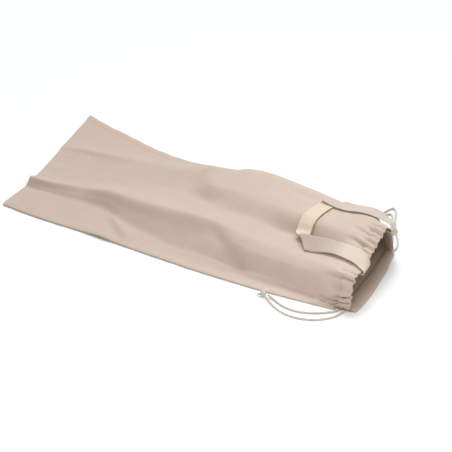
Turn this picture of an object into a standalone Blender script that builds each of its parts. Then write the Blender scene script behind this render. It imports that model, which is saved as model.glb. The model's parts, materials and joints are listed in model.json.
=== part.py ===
"""Long cotton drawstring bag, filled out and lying on its side, open at the mouth.

Metres, +Z up. The bag's length runs along +X to the mouth and its width along +Y. The tables below are in
millimetres from the near corner of the closed end, and centre_on_floor moves the finished pieces so that
the middle of the bag stands on the origin.
"""

import math

import bmesh
import bpy
import numpy as np

MM = 0.001

# Driving sizes, in millimetres
CLOTH = 1.0  # thickness of the cotton
LAYER_PITCH = 1.6  # between the middles of two layers that lie on each other
BAG_LENGTH = 672.0  # closed end to rim, along the top sheet
HEM_DEPTH = 26.0
COLUMNS, ROWS = 34, 32  # of the mesh, across and along each sheet
TAPE_WIDTH, TAPE_THICKNESS = 28.0, 1.2
CORD_DIAMETER = 3.5
CORD_POINT_PITCH = 8.5
KNOT_RADIUS = 6.0
GAP = 0.3  # between two pieces that touch
SLIT_RISE = 0.2  # of the floor sheet, where each side seam ends

FLOOR_LAYER = CLOTH / 2
SEAM_HEIGHT = FLOOR_LAYER + LAYER_PITCH

# The top sheet, one row for each section across the bag at x. Near is the -Y side.
SECTION_COLUMNS = (
    "x",
    "near_edge_y",
    *("near_foot_y", "near_foot_z", "near_crest_y", "near_crest_z", "valley_y", "valley_z"),
    *("far_shoulder_y", "far_shoulder_z", "far_crest_y", "far_crest_z", "far_foot_y", "far_foot_z"),
    "far_edge_y",
    "far_edge_z",
)
SECTIONS = (
    (0, -1, 62, 2.8, 78, 11.0, 104, 3.5, 150, 3.2, 200, 3.2, 240, 2.8, 305, 2.1),
    (40, -6, 60, 3.2, 79, 10.5, 108, 4.5, 155, 5.0, 199, 6.5, 238, 4.0, 292, 2.1),
    (95, -9, 60, 4.0, 88, 14, 128, 6.0, 166, 7.5, 201, 9.5, 236, 5.5, 279, 2.1),
    (150, -10, 52, 5.0, 93, 17.5, 140, 8.0, 174, 10, 206, 12, 236, 6.5, 266, 2.1),
    (205, -13, 44, 6.0, 87, 20.5, 146, 10, 180, 13, 214, 15.5, 240, 8.5, 261, 2.5),
    (255, -16, 36, 7.5, 82, 24, 148, 15, 184, 18.5, 223, 23, 247, 16.5, 261, 5.0),
    (280, -18, 30, 8.5, 80, 27.5, 140, 20, 180, 27.5, 222, 32, 248, 19.5, 260, 7),
    (300, -19, 26, 9, 78, 31, 135, 24.5, 175, 33, 221, 35.5, 248, 22.5, 258, 9),
    (320, -20, 22.5, 9.5, 76, 35, 130, 29, 171, 39.5, 219, 40, 246, 26.5, 256, 12),
    (340, -21, 19, 9.5, 73, 38.5, 123, 33, 167, 46, 216, 47, 244, 36.5, 253, 16),
    (380, -23, 13, 11, 66, 46, 112, 41, 156, 57, 209, 57, 240, 42, 246, 19),
    (430, -24, 6, 12, 54, 51, 99, 46.5, 146, 62, 203, 61.5, 236, 43, 242, 19),
    (490, -24, 3, 13, 49, 50.5, 95, 45.5, 142, 65, 194, 64.5, 227, 44.5, 233, 19),
    (550, -22, 0, 13, 41, 51.5, 90, 48, 133, 66, 182, 65, 215, 44.5, 221, 17),
    (610, -17, -4, 15, 29, 58, 74, 54, 116, 68, 161, 74, 200, 47, 204, 10),
    (645, -12, -5, 20, 20, 62, 58, 59, 100, 70, 147, 77, 181, 48, 190, 2.1),
    (672, -7, -4, 27, 14, 60, 47, 61, 90, 70, 139, 76, 173, 48, 182, 2.1),
)
# Where the places of a section lie across the sheet, from 0 at the near edge to 1 at the far one: the edge, the
# flat strip beside its seam, the near foot, a place on the round of the near side, and the others above
ACROSS = (0.0, 0.05, 0.17, 0.23, 0.29, 0.44, 0.56, 0.70, 0.86, 1.0)
FLANGE_WIDTH, FLANGE_RISE = 16.0, 0.8
ROUND_FROM, ROUND_TO = 330.0, 430.0  # the near side turns round, from a straight slope, between these
ROUND_Y, STRAIGHT_Z, ROUND_Z = 0.51, 0.5, 0.815
# How far each of them is drawn back from the rim line, for the top sheet and for the one on the floor
TOP_RIM_DRAWN = (6, 4, 1, 0.4, 0, 2, 6, 13, 20, 22)
FLOOR_RIM_DRAWN = (-7, -8, -8, -7, -6, -2, 2, 6, 14, 20)
RIM_DRAWN_FROM = 540.0
# The closed end is drawn in where the raised fold takes up cloth
CLOSED_END_Y = (-10, 0, 50, 82, 108, 150, 200, 250, 305)
CLOSED_END_DRAWN = (0, 0, 5.5, 8.5, 8.5, 7.5, 5.0, 2.5, 0)
RAISED_END_LENGTH = 120.0  # how far along the floor sheet follows that fold

# Soft ridges, and troughs where height is negative, laid on the sections
FOLD_COLUMNS = ("name", "start_x", "start_y", "end_x", "end_y", "height", "half_width")
FOLDS = (
    ("near edge pleat", 196, 46, 238, -2, 4.5, 9),
    ("step of the raised fold", 132, 92, 360, 70, 4.0, 13),
    ("end of the near filling", 372, 56, 456, 6, -6.0, 12),
    ("end of the far filling", 262, 208, 306, 144, -4.0, 13),
)

# Gathers of the drawn hem
GATHERS = 8
GATHER_DEPTH = 2.2
GATHER_START, GATHER_FULL = 596.0, 648.0
GATHER_UNEVENNESS = 0.9
# The tape keeps the hem flat where it is sewn: y of the middle, and half the width
FLAT_SEATS = ((41.0, 28.0), (166.0, 27.0))

# The tape, from its near sewn end to its far one. rise is from the cloth's middle surface, out of the bag;
# turn is the plan angle of the tape's width, from the edge that starts on the near side; lean lifts the
# other edge off the cloth; stretch is 1 across the tape and root 2 on a mitre.
MITRE = math.sqrt(2)
SEWN_PLACE = "sewn to the hem"  # these rows follow the cloth across the tape too
UNDER_HEM = -(CLOTH / 2 + 4 * GAP + TAPE_THICKNESS / 2)
TAPE_COLUMNS = ("place", "x", "y", "rise", "turn", "lean", "stretch")
TAPE = (
    (SEWN_PLACE, 646, 40, UNDER_HEM, 90, 0, 1),
    (SEWN_PLACE, 664, 40.5, UNDER_HEM, 90, 0, 1),
    (SEWN_PLACE, 674.5, 41, UNDER_HEM, 90, 0, 1),
    (SEWN_PLACE, 677.4, 41, 1.6, 90, 0, 1),
    ("round the rim", 676.0, 42, 5.0, 88, 2, 1),
    ("over the hem", 667, 46, 8.0, 86, 8, 1),
    ("lifted", 652, 53, 10.0, 84, 11, 1),
    ("lifted", 635.5, 59.3, 10.5, 86, 12, 1),
    ("lifted", 616, 64.5, 10.5, 89, 14, 1),
    ("near run", 598, 67.5, 10.0, 90, 18, 1),
    ("near run", 584, 66.5, 10.5, 90, 28, 1),
    ("before the near mitre", 562.5, 63, 10.5, 92, 38, 1),
    ("near mitre, upper", 541.2, 63.2, 9.6, 130, 18, 1.25),
    ("near mitre, edge", 540.5, 62.5, 8.7, 130, 18, 1.25),
    ("near mitre, lower", 541.2, 63.2, 7.8, 130, 18, 1.25),
    ("after the near mitre", 530, 81.5, 6.6, 165, 8, 1),
    ("after the near mitre", 524.5, 100, 5.0, 188, 0, 1),
    ("middle run", 522, 115, 3.4, 184, 0, 1),
    ("middle run", 521, 130, 3.0, 182, 0, 1),
    ("middle run", 522, 146, 3.0, 182, 0, 1),
    ("before the far mitre", 525, 160, 3.0, 184, 0, 1),
    ("before the far mitre", 528.3, 173.5, 4.4, 198, 5, 1.08),
    ("far mitre, lower", 531.7, 183, 6.0, 218, 12, 1.25),
    ("far mitre, edge", 531, 183.5, 6.9, 218, 12, 1.25),
    ("far mitre, upper", 531.7, 183, 7.8, 218, 12, 1.25),
    ("far run", 549, 182.5, 5.0, 258, 3, 1),
    ("far run", 566, 181.5, 3.4, 268, 0, 1),
    ("far run", 585.5, 180, 3.4, 270, -5, 1),
    ("far run", 604.5, 178.5, 5.6, 270, -11, 1),
    ("arch", 620.5, 177.5, 9.5, 270, -15, 1),
    ("arch", 636, 174, 13.0, 270, -18, 1),
    ("arch", 646, 170.5, 13.0, 270, -20, 1),
    ("arch", 652.5, 168, 10.5, 270, -16, 1),
    ("standing at the mouth", 658, 167, 7.5, 270, -8, 1),
    ("standing at the mouth", 660.5, 167, 4.6, 270, -2, 1),
    (SEWN_PLACE, 660.5, 167, 1.0, 270, 0, 1),
    (SEWN_PLACE, 656.5, 167, UNDER_HEM, 270, 0, 1),
    (SEWN_PLACE, 651.5, 167, UNDER_HEM, 270, 0, 1),
    (SEWN_PLACE, 645.5, 167, UNDER_HEM, 270, 0, 1),
    (SEWN_PLACE, 639, 167, UNDER_HEM, 270, 0, 1),
    (SEWN_PLACE, 632, 167, UNDER_HEM, 270, 0, 1),
)
TAPE_STRIPS = 4  # faces across the tape

# The loose ends of the drawcord: points of each route, from the hem's corner to the knot
CORDS = {
    "near_cord_a": ((659.5, -10.9, 2.2), (660.5, -19, 2.0), (653, -39, 1.8), (632, -59, 1.8), (604, -69, 1.8),
                    (577, -68, 1.8), (553, -59, 1.8), (537, -48.5, 2.4), (524.9, -39.3, 4.7)),
    "near_cord_b": ((650.5, -12.8, 2.2), (648, -21, 2.0), (640, -29, 1.8), (624, -40, 1.8), (604, -49, 1.8),
                    (582, -52, 1.8), (560, -48, 1.8), (540, -39, 2.4), (526.1, -34.3, 4.6)),
    "far_cord_a": ((646.0, 185.2, 2.2), (647, 198, 2.0), (640, 216, 1.8), (625, 238, 1.8), (609, 263, 1.8),
                   (598, 286, 1.8), (591, 298, 1.8), (584, 302.5, 1.8), (579, 294, 1.8), (576, 284, 1.8),
                   (570, 276.5, 1.8), (561, 271, 1.8), (549, 267.6, 2.4), (534.6, 265.1, 4.7)),
    "far_cord_b": ((637.5, 188.9, 2.2), (637, 200, 2.0), (629, 217, 1.8), (616, 239, 1.8), (602, 263, 1.8),
                   (595, 279, 1.8), (589, 285, 1.8), (582, 279.5, 1.8), (571, 270, 1.8), (560, 264.5, 1.8),
                   (549, 261.8, 2.4), (534.6, 261.1, 4.7)),
}
# name: centre x, y, and the plan angle in which the two cut ends point
KNOTS = {"near_knot": (518.5, -36.2, 178.0), "far_knot": (528.0, 263.0, 190.0)}
KNOT_HEIGHT = 5.7
CUT_END_LENGTH, CUT_END_SPREAD = 10.0, 16.0


def named(columns, rows):
    """Table rows as dictionaries keyed by column name."""
    return [dict(zip(columns, row)) for row in rows]


def flow(knots, values, at):
    """A smooth curve through the values at the knots, which never overshoots them, read at each place in at.
    values has a row for each knot and may have several columns."""
    knots, values, at = (np.asarray(a, float) for a in (knots, values, at))
    values = values.reshape(len(knots), -1)
    step = np.diff(knots)[:, None]
    slope = np.diff(values, axis=0) / step
    before, after = slope[:-1], slope[1:]
    same_way = before * after > 0
    total = np.where(same_way, before + after, 1.0)
    inner = np.where(same_way, 2 * before * after / total, 0.0)
    lean = np.vstack([slope[:1], inner, slope[-1:]])
    i = np.clip(np.searchsorted(knots, at, side="right") - 1, 0, len(knots) - 2)
    width = step[i]
    u = (at[:, None] - knots[i][:, None]) / width
    return (
        values[i] * (1 + 2 * u) * (1 - u) ** 2
        + values[i + 1] * u * u * (3 - 2 * u)
        + width * (lean[i] * u * (1 - u) ** 2 - lean[i + 1] * u * u * (1 - u))
    )


def ease(value, low, high):
    """0 below low, 1 above high and a smooth step between."""
    u = np.clip((value - low) / (high - low), 0.0, 1.0)
    return u * u * (3 - 2 * u)


def stations():
    """Where the rows of the cloth lie along the bag, closer together at the closed end and at the mouth."""
    u = np.arange(ROWS + 1) / ROWS
    return BAG_LENGTH * (0.45 * u + 0.55 * (1 - np.cos(math.pi * u)) / 2)


def section(x, across):
    """(y, z) of the top sheet's section at x, read at the places across."""
    table = np.array(SECTIONS, float)
    row = flow(table[:, 0], table[:, 1:], [x])[0]
    flange = row[0] + min(FLANGE_WIDTH, 0.6 * (row[1] - row[0]))
    height = STRAIGHT_Z + (ROUND_Z - STRAIGHT_Z) * ease(x, ROUND_FROM, ROUND_TO)
    round_y = row[1] + ROUND_Y * (row[3] - row[1])
    round_z = row[2] + height * (row[4] - row[2])
    y = np.array([row[0], flange, row[1], round_y, *row[[3, 5, 7, 9, 11, 13]]])
    z = np.array([SEAM_HEIGHT, SEAM_HEIGHT + FLANGE_RISE, row[2], round_z, *row[[4, 6, 8, 10, 12, 14]]])
    return flow(ACROSS, np.stack([y, z], axis=1), across).T


def outward(y, z, across):
    """Unit normals of a section, pointing out of the bag."""
    dy, dz = np.gradient(y, across), np.gradient(z, across)
    size = np.hypot(dy, dz)
    return -dz / size, dy / size


def fold_relief(x, y):
    """Height that the soft ridges and troughs add at plan places x, y."""
    height = np.zeros(np.shape(y))
    for fold in named(FOLD_COLUMNS, FOLDS):
        start = np.array([fold["start_x"], fold["start_y"]], float)
        run = np.array([fold["end_x"], fold["end_y"]], float) - start
        along = ((x - start[0]) * run[0] + (y - start[1]) * run[1]) / (run @ run)
        beside = ((y - start[1]) * run[0] - (x - start[0]) * run[1]) / math.hypot(*run)
        taper = ease(along, -0.25, 0.3) * (1 - ease(along, 0.7, 1.25))
        height += fold["height"] * taper * np.exp(-((beside / fold["half_width"]) ** 2))
    return height


def gather_relief(x, y, across):
    """How far the gathers of the drawn hem push the cloth out."""
    waves = 2 * math.pi * GATHERS * across
    shape = np.cos(waves + GATHER_UNEVENNESS * np.sin(9.4 * across)) * (1 + 0.5 * np.sin(2.7 * waves)) / 1.5
    free = ease(across, 0.02, 0.12) * (1 - ease(across, 0.82, 0.95))
    for middle, half in FLAT_SEATS:
        free = free * (1 - np.exp(-(((y - middle) / half) ** 4)))
    return GATHER_DEPTH * ease(x, GATHER_START, GATHER_FULL) * shape * free


def rim_share(x):
    """How much of the rim's own line a section at x already has."""
    return np.clip((x - RIM_DRAWN_FROM) / (BAG_LENGTH - RIM_DRAWN_FROM), 0, 1) ** 2


def cloth_at(x, y):
    """The top sheet's middle surface over a plan place, with its unit normal. Past the rim it runs straight on."""
    across = np.linspace(0, 1, 401)
    drawn = flow(ACROSS, TOP_RIM_DRAWN, across)[:, 0]

    def surface(station):
        held = min(station, BAG_LENGTH)
        ys, zs = section(held, across)
        k = int(np.argmin(np.abs(ys - y) + 1000 * (across < 0.2)))
        reach = station - drawn[k] * rim_share(held)
        return np.array([reach, y, np.interp(y, ys[80:], zs[80:]) + fold_relief(reach, np.array([y]))[0]])

    station = x
    for _ in range(6):
        station += x - surface(station)[0]
    here = surface(station)
    slope_x = (surface(station + 2)[2] - surface(station - 2)[2]) / 4 if station < BAG_LENGTH - 2 else 0.0
    ys, zs = section(min(station, BAG_LENGTH), across)
    slope_y = (np.interp(y + 1, ys[80:], zs[80:]) - np.interp(y - 1, ys[80:], zs[80:])) / 2
    normal = np.array([-slope_x, -slope_y, 1.0])
    return here, normal / np.linalg.norm(normal)


def sheet_rows():
    """Middle surfaces of the top sheet and of the floor sheet: arrays of (row, column, xyz) in millimetres."""
    across = np.arange(COLUMNS + 1) / COLUMNS
    top_drawn = flow(ACROSS, TOP_RIM_DRAWN, across)[:, 0]
    floor_drawn = flow(ACROSS, FLOOR_RIM_DRAWN, across)[:, 0]
    top, floor = [], []
    for x in stations():
        y, z = section(x, across)
        mouth = rim_share(x)
        pinch = 1 - ease(x, 0, 2 * RAISED_END_LENGTH)
        drawn_in = flow(CLOSED_END_Y, CLOSED_END_DRAWN, np.clip(y, CLOSED_END_Y[0], CLOSED_END_Y[-1]))[:, 0]
        x_top = x + drawn_in * pinch - top_drawn * mouth
        out_y, out_z = outward(y, z, across)
        relief = fold_relief(x_top, y)
        gather = gather_relief(x, y, across)
        y_top, z_top = y + gather * out_y, z + relief + gather * out_z

        lifted = 1 - ease(x, 0, RAISED_END_LENGTH)
        y_even = y[0] + (y[-1] - y[0]) * across
        y_floor = y_even + (y - y_even) * lifted
        far_rise = (z[-1] - SEAM_HEIGHT) * ease(across, 0.8, 1.0) ** 1.5
        z_floor = FLOOR_LAYER + (z - SEAM_HEIGHT) * lifted + far_rise * (1 - lifted)
        z_top = np.maximum(z_top, np.maximum(SEAM_HEIGHT, z_floor + LAYER_PITCH))
        x_floor = x + drawn_in * pinch - floor_drawn * mouth
        top.append(np.stack([x_top, y_top, z_top], axis=1))
        floor.append(np.stack([x_floor, y_floor, z_floor], axis=1))
    return np.array(top), np.array(floor)


def open_hem_corners(top, seam_rows):
    """Past the side seams the two hems part, and the top one lifts a little off the cord below it."""
    rows = len(top)
    for row in range(seam_rows, rows):
        open_part = (row - seam_rows + 1) / (rows - seam_rows)
        for column, reach in ((0, 1), (1, 0.6), (COLUMNS, 1), (COLUMNS - 1, 0.6)):
            top[row, column, 2] += 6.5 * open_part * reach
    return top


def faces_between(rows, flip):
    """Quads of a grid of vertices, as lists of four."""
    for lower, upper in zip(rows, rows[1:]):
        for a, b, c, d in zip(lower, lower[1:], upper[1:], upper):
            yield [a, d, c, b] if flip else [a, b, c, d]


def bag_cloth():
    """The bag: a top and a floor sheet, folded into each other at the closed end and seamed along the sides up
    to the hem, with the cotton's thickness from Solidify."""
    top, floor = sheet_rows()
    seam_rows = int(np.searchsorted(stations(), BAG_LENGTH - HEM_DEPTH))
    top = open_hem_corners(top, seam_rows)
    floor[seam_rows - 1, (0, COLUMNS), 2] += SLIT_RISE
    mesh = bmesh.new()

    def grid(points):
        return [[mesh.verts.new(p * MM) for p in row] for row in points]

    top_verts, floor_verts = grid(top), grid(floor)
    for corners in faces_between(top_verts, True):
        mesh.faces.new(corners)
    for corners in faces_between(floor_verts, False):
        mesh.faces.new(corners)
    half = LAYER_PITCH / 2
    closed_fold = [mesh.verts.new(((t + f) / 2 - (half, 0, 0)) * MM) for t, f in zip(top[0], floor[0])]
    for k in range(COLUMNS):
        mesh.faces.new([floor_verts[0][k], closed_fold[k], closed_fold[k + 1], floor_verts[0][k + 1]][::-1])
        mesh.faces.new([top_verts[0][k], top_verts[0][k + 1], closed_fold[k + 1], closed_fold[k]][::-1])
    for column, side in ((0, -1), (COLUMNS, 1)):
        seam = [
            mesh.verts.new(((t + f) / 2 + (0, side * half, 0)) * MM)
            for t, f in zip(top[:seam_rows, column], floor[:seam_rows, column])
        ]
        for row in range(seam_rows - 1):
            below, above = floor_verts[row : row + 2], top_verts[row : row + 2]
            mesh.faces.new([below[0][column], below[1][column], seam[row + 1], seam[row]])
            mesh.faces.new([above[1][column], above[0][column], seam[row], seam[row + 1]])
        mesh.faces.new([floor_verts[0][column], seam[0], closed_fold[column]])
        mesh.faces.new([top_verts[0][column], seam[0], closed_fold[column]])
    bmesh.ops.recalc_face_normals(mesh, faces=mesh.faces[:])
    bag = finish_mesh("bag_cloth", mesh, "unbleached cotton")
    wall = bag.modifiers.new("cotton thickness", "SOLIDIFY")
    wall.thickness = CLOTH * MM
    wall.offset = 0
    wall.use_even_offset = True
    return bag


def tape_rows():
    """Edge-to-edge rows of points across the handle tape, in millimetres."""
    rows = []
    for row in named(TAPE_COLUMNS, TAPE):
        turn, lean = math.radians(row["turn"]), math.radians(row["lean"])
        middle, normal = cloth_at(row["x"], row["y"])
        plan = np.array([math.cos(turn), math.sin(turn), 0.0])
        flat = plan - (plan @ normal) * normal
        width = math.cos(lean) * flat / np.linalg.norm(flat) + math.sin(lean) * normal
        centre = middle + row["rise"] * normal
        places = np.linspace(-0.5, 0.5, TAPE_STRIPS + 1) * TAPE_WIDTH * row["stretch"]
        points = [centre + place * width for place in places]
        if row["place"] == SEWN_PLACE:
            under = [cloth_at(middle[0] + place * flat[0], middle[1] + place * flat[1]) for place in places]
            points = [on_cloth + row["rise"] * out for on_cloth, out in under]
        rows.append(points)
    return rows


def handle_tape():
    """One ribbon, laid back over the bag with two mitred folds, its ends turned into the mouth."""
    mesh = bmesh.new()
    verts = [[mesh.verts.new(p * MM) for p in row] for row in tape_rows()]
    for corners in faces_between(verts, False):
        mesh.faces.new(corners)
    tape = finish_mesh("handle_tape", mesh, "cream cotton tape")
    wall = tape.modifiers.new("tape thickness", "SOLIDIFY")
    wall.thickness = TAPE_THICKNESS * MM
    wall.offset = 0
    wall.use_even_offset = True
    return tape


def cord_route(points):
    """Evenly spaced points on the smooth curve through a cord's own points, in millimetres."""
    points = np.array(points, float)
    reach = np.concatenate([[0], np.cumsum(np.linalg.norm(np.diff(points, axis=0), axis=1))])
    padded = np.vstack([2 * points[0] - points[1], points, 2 * points[-1] - points[-2]])
    fine = []
    for i in range(len(points) - 1):
        a, b, c, d = padded[i : i + 4]
        for u in np.linspace(0, 1, 12, endpoint=False):
            fine.append(
                b + 0.5 * u * ((c - a) + u * ((2 * a - 5 * b + 4 * c - d) + u * (3 * b - 3 * c + d - a)))
            )
    fine = np.array([*fine, points[-1]])
    along = np.concatenate([[0], np.cumsum(np.linalg.norm(np.diff(fine, axis=0), axis=1))])
    count = max(12, round(along[-1] / CORD_POINT_PITCH))
    even = np.linspace(0, along[-1], count + 1)
    return np.stack([np.interp(even, along, fine[:, k]) for k in range(3)], axis=1)


def loose_cord(name, points):
    """A round cord as a bevelled curve with filled caps."""
    curve = bpy.data.curves.new(name, "CURVE")
    curve.dimensions = "3D"
    curve.bevel_depth = CORD_DIAMETER / 2 * MM
    curve.bevel_resolution = 2
    curve.use_fill_caps = True
    route = cord_route(points) * MM
    spline = curve.splines.new("POLY")
    spline.points.add(len(route) - 1)
    for point, place in zip(spline.points, route):
        point.co = (*place, 1)
    cord = bpy.data.objects.new(name, curve)
    cord.data.materials.append(material("cotton cord"))
    COLLECTION.objects.link(cord)
    return cord


def knot(name, x, y, heading):
    """An overhand knot in the two cords, as one lump with three turns round it and two cut ends."""
    mesh = bmesh.new()
    bmesh.ops.create_uvsphere(mesh, u_segments=16, v_segments=10, radius=KNOT_RADIUS * MM)
    direction = np.array([math.cos(math.radians(heading)), math.sin(math.radians(heading)), 0.0])
    side = np.array([-direction[1], direction[0], 0.0])
    for vert in mesh.verts:
        unit = np.array(vert.co) / (KNOT_RADIUS * MM)
        turn = math.atan2(unit[2], unit @ side)
        wrap = 1 + 0.10 * math.cos(3 * math.acos(max(-1, min(1, unit @ direction))) + turn)
        vert.co = [c * wrap for c in vert.co]
        angle = math.atan2(unit @ side, unit @ direction)
        if abs(unit[2]) < 0.45 and unit @ direction > 0.5 and abs(angle) > math.radians(CUT_END_SPREAD / 2):
            pull = 1 + CUT_END_LENGTH / KNOT_RADIUS * (1 - abs(unit[2]) / 0.45) ** 0.5 * 0.6
            vert.co.x *= pull
            vert.co.y *= pull
    bmesh.ops.translate(mesh, verts=mesh.verts[:], vec=(x * MM, y * MM, KNOT_HEIGHT * MM))
    return finish_mesh(name, mesh, "cotton cord")


MATERIALS = {
    "unbleached cotton": ((0.64, 0.55, 0.46), 0.9),
    "cream cotton tape": ((0.80, 0.68, 0.53), 0.85),
    "cotton cord": ((0.66, 0.62, 0.56), 0.85),
}


def material(name):
    """The named cotton, as a Principled material."""
    made = bpy.data.materials.get(name)
    if made is None:
        colour, roughness = MATERIALS[name]
        made = bpy.data.materials.new(name)
        made.use_nodes = True
        shader = made.node_tree.nodes["Principled BSDF"]
        shader.inputs["Base Color"].default_value = (*colour, 1)
        shader.inputs["Roughness"].default_value = roughness
        shader.inputs["Metallic"].default_value = 0
    return made


def finish_mesh(name, mesh, finish):
    """A bmesh as a smooth-shaded object of the bag."""
    data = bpy.data.meshes.new(name)
    mesh.to_mesh(data)
    mesh.free()
    data.shade_smooth()
    made = bpy.data.objects.new(name, data)
    data.materials.append(material(finish))
    COLLECTION.objects.link(made)
    return made


def centre_on_floor(sewn, pieces):
    """Moves all pieces so that the box of the sewn ones is centred on Z and stands on the floor."""
    bpy.context.view_layer.update()
    depsgraph = bpy.context.evaluated_depsgraph_get()
    points = []
    for piece in sewn:
        evaluated = piece.evaluated_get(depsgraph)
        points += [tuple(v.co) for v in evaluated.to_mesh().vertices]
        evaluated.to_mesh_clear()
    low, high = np.min(points, axis=0), np.max(points, axis=0)
    for piece in pieces:
        piece.location = (-(low[0] + high[0]) / 2, -(low[1] + high[1]) / 2, -low[2])


for old in list(bpy.data.objects):
    bpy.data.objects.remove(old, do_unlink=True)
COLLECTION = bpy.data.collections.new("Bread bag")
bpy.context.scene.collection.children.link(COLLECTION)

SEWN = [bag_cloth(), handle_tape()]
LOOSE = [loose_cord(name, points) for name, points in CORDS.items()]
LOOSE += [knot(name, *place) for name, place in KNOTS.items()]
centre_on_floor(SEWN, SEWN + LOOSE)
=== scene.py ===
# %% [markdown]
# # A cotton bread bag
#
# The real thing is a long bag of unbleached cotton, lying flat and filled out towards its open mouth. A cord
# runs through the hem, a tape handle lies back over the bag, and the cord's ends leave the hem in knots. The
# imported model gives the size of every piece; this lesson makes the pieces that are looked at: cloth with
# folds and gathers, a sewn hem, a woven tape, twisted cords and their knots.

import json
import math

import bmesh
import bpy
import numpy as np
from mathutils import Matrix, Vector, noise
from mathutils.bvhtree import BVHTree

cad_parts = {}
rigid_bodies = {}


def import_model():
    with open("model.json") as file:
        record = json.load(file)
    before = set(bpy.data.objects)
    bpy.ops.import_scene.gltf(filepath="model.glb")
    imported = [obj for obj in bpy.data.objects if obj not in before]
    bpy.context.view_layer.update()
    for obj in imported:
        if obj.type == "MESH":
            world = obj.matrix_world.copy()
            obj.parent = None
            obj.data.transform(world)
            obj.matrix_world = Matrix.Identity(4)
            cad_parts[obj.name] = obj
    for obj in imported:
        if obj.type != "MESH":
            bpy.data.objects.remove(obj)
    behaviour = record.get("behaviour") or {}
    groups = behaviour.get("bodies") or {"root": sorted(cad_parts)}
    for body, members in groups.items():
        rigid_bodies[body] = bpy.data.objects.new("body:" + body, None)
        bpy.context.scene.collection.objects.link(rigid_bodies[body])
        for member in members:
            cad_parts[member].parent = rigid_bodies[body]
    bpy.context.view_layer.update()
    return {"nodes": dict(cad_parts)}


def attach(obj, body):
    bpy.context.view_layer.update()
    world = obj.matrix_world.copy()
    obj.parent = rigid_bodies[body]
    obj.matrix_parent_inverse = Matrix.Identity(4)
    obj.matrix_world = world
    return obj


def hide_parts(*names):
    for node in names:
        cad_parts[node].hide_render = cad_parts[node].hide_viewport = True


for old in list(bpy.data.objects):
    bpy.data.objects.remove(old, do_unlink=True)
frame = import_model()
print("nodes:", sorted(frame["nodes"]))

# %% [markdown]
# ## The bag's own millimetres
#
# A sewer measures from a corner of the bag, so the tables below are in millimetres from the near corner of
# the closed end: x along the bag, y across it, z up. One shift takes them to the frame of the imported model,
# which stands on the middle of the bag. The helpers are used everywhere: a curve that never overshoots its
# knots, a smooth step and running lengths.

# %% Millimetres, curves and smooth steps
MM = 0.001
BAG_CORNER = np.array([-339.26, -140.52, 0.03])


def placed(points):
    """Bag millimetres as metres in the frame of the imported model."""
    return (np.asarray(points, float) + BAG_CORNER) * MM


def flow(knots, values, at):
    """A smooth curve through the values at the knots, without overshoot, read at each place in at."""
    knots, values, at = (np.asarray(a, float) for a in (knots, values, at))
    values = values.reshape(len(knots), -1)
    step = np.diff(knots)[:, None]
    slope = np.diff(values, axis=0) / step
    before, after = slope[:-1], slope[1:]
    same_way = before * after > 0
    total = np.where(same_way, before + after, 1.0)
    inner = np.where(same_way, 2 * before * after / total, 0.0)
    lean = np.vstack([slope[:1], inner, slope[-1:]])
    i = np.clip(np.searchsorted(knots, at, side="right") - 1, 0, len(knots) - 2)
    width = step[i]
    u = (at[:, None] - knots[i][:, None]) / width
    return (
        values[i] * (1 + 2 * u) * (1 - u) ** 2
        + values[i + 1] * u * u * (3 - 2 * u)
        + width * (lean[i] * u * (1 - u) ** 2 - lean[i + 1] * u * u * (1 - u))
    )


def ease(value, low, high):
    """0 below low, 1 above high and a smooth step between."""
    u = np.clip((value - low) / (high - low), 0.0, 1.0)
    return u * u * (3 - 2 * u)


def flow_length(points):
    """Running length along a row of points."""
    return np.concatenate([[0], np.cumsum(np.linalg.norm(np.diff(points, axis=0), axis=1))])


print("bag corner at", placed((0, 0, 0)))

# %% [markdown]
# ## The camera
#
# The picture to match was taken from far away with a long lens: parallel edges of the bag stay parallel in
# it. An orthographic camera does the same. It looks down 33.5 degrees, from 28.6 degrees round from the
# front, and its scale is the picture's own: 592 picture points to a metre.

# %% Camera
def in_scene(name, data):
    """A new object in the scene."""
    made = bpy.data.objects.new(name, data)
    bpy.context.scene.collection.objects.link(made)
    return made


PICTURE = 452
CAMERA_AWAY = 3  # metres, which a long lens doesn't show
POINTS_PER_METRE = 592
VIEW_ROUND, VIEW_DOWN = math.radians(28.6), math.radians(33.5)
CORNER_IN_PICTURE = (4, 204.7)

right = Vector((math.cos(VIEW_ROUND), math.sin(VIEW_ROUND), 0))
back = Vector((
    math.sin(VIEW_ROUND) * math.cos(VIEW_DOWN),
    -math.cos(VIEW_ROUND) * math.cos(VIEW_DOWN),
    math.sin(VIEW_DOWN),
))
up = back.cross(right)
corner = Vector(placed((0, 0, 0)))
centre = (
    corner
    + right * (PICTURE / 2 - CORNER_IN_PICTURE[0]) / POINTS_PER_METRE
    - up * (PICTURE / 2 - CORNER_IN_PICTURE[1]) / POINTS_PER_METRE
)
lens = bpy.data.cameras.new("camera")
lens.type = "ORTHO"
lens.ortho_scale = PICTURE / POINTS_PER_METRE
camera = in_scene("camera", lens)
turned = Matrix((right, up, back)).transposed().to_4x4()
camera.matrix_world = Matrix.Translation(centre + back * CAMERA_AWAY) @ turned
bpy.context.scene.camera = camera
print("camera looks at", [round(c, 3) for c in centre])

# %% [markdown]
# ## Making and wiring helpers
#
# Each piece is one mesh, built from rows of points, so one helper turns points and faces into a shaded
# object. The cloth also carries its flat coordinates, as if it were unpicked and ironed: threads follow
# those, so the weave stays at its real size however the cloth is folded.

# %% Mesh helpers
def mesh_piece(name, points, faces, flat=None):
    """An object from points in bag millimetres. flat is each point's place on the flat cloth, in metres."""
    data = bpy.data.meshes.new(name)
    data.from_pydata([tuple(p) for p in placed(points)], [], [tuple(int(i) for i in f) for f in faces])
    data.validate()
    data.shade_smooth()
    if flat is not None:
        layer = data.uv_layers.new(name="flat cloth")
        corners = np.array([loop.vertex_index for loop in data.loops])
        layer.data.foreach_set("uv", np.asarray(flat, float)[corners].ravel())
    return in_scene(name, data)


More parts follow.
